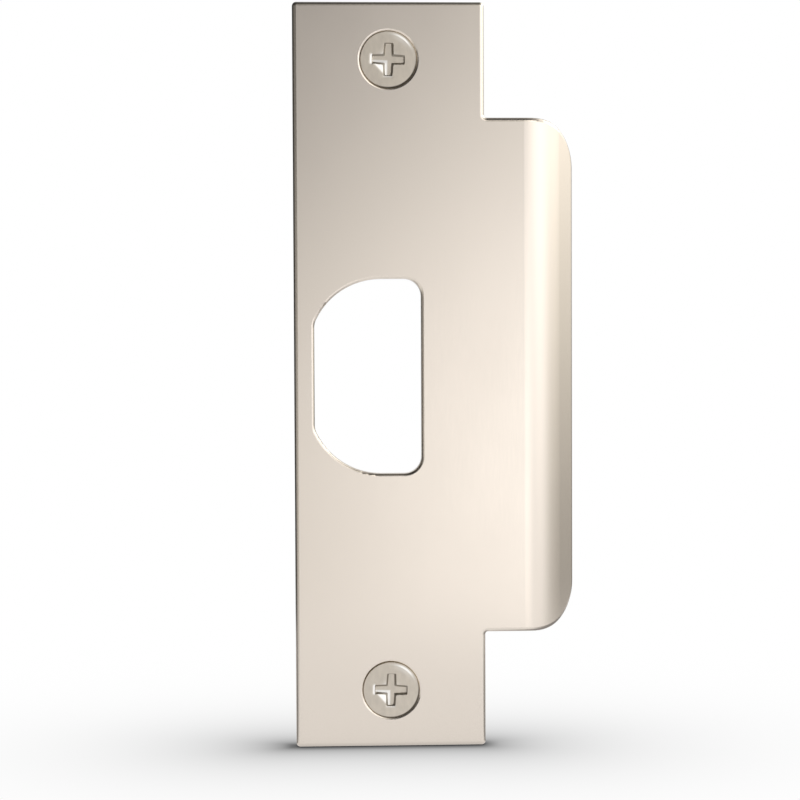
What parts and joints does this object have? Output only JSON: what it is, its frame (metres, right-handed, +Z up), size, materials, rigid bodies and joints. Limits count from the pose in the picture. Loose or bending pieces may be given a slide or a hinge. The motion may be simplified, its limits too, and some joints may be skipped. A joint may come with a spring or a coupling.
{
  "type": "door strike plate",
  "caption": "Flat door strike plate with a D-shaped latch hole, a full-height lip that curls back at one side, and countersunk cross-recess fixing screws.",
  "frame": {"origin": "on the plate's back face, half way between the two screws", "axes": "+Z up the door frame, along the plate's length; +X towards the lip; +Y into the door frame, so the face that is seen looks along -Y"},
  "size_m": [0.0469, 0.0128, 0.1238],
  "materials": {
    "plate_finish": "satin nickel plating on steel, warm grey, soft sheen",
    "screw_finish": "satin nickel plating on steel, a little darker than the plate"
  },
  "bodies": {
    "root": {"strike_plate": "plate_finish", "upper_screw": "screw_finish", "lower_screw": "screw_finish"}
  },
  "joints": []
}
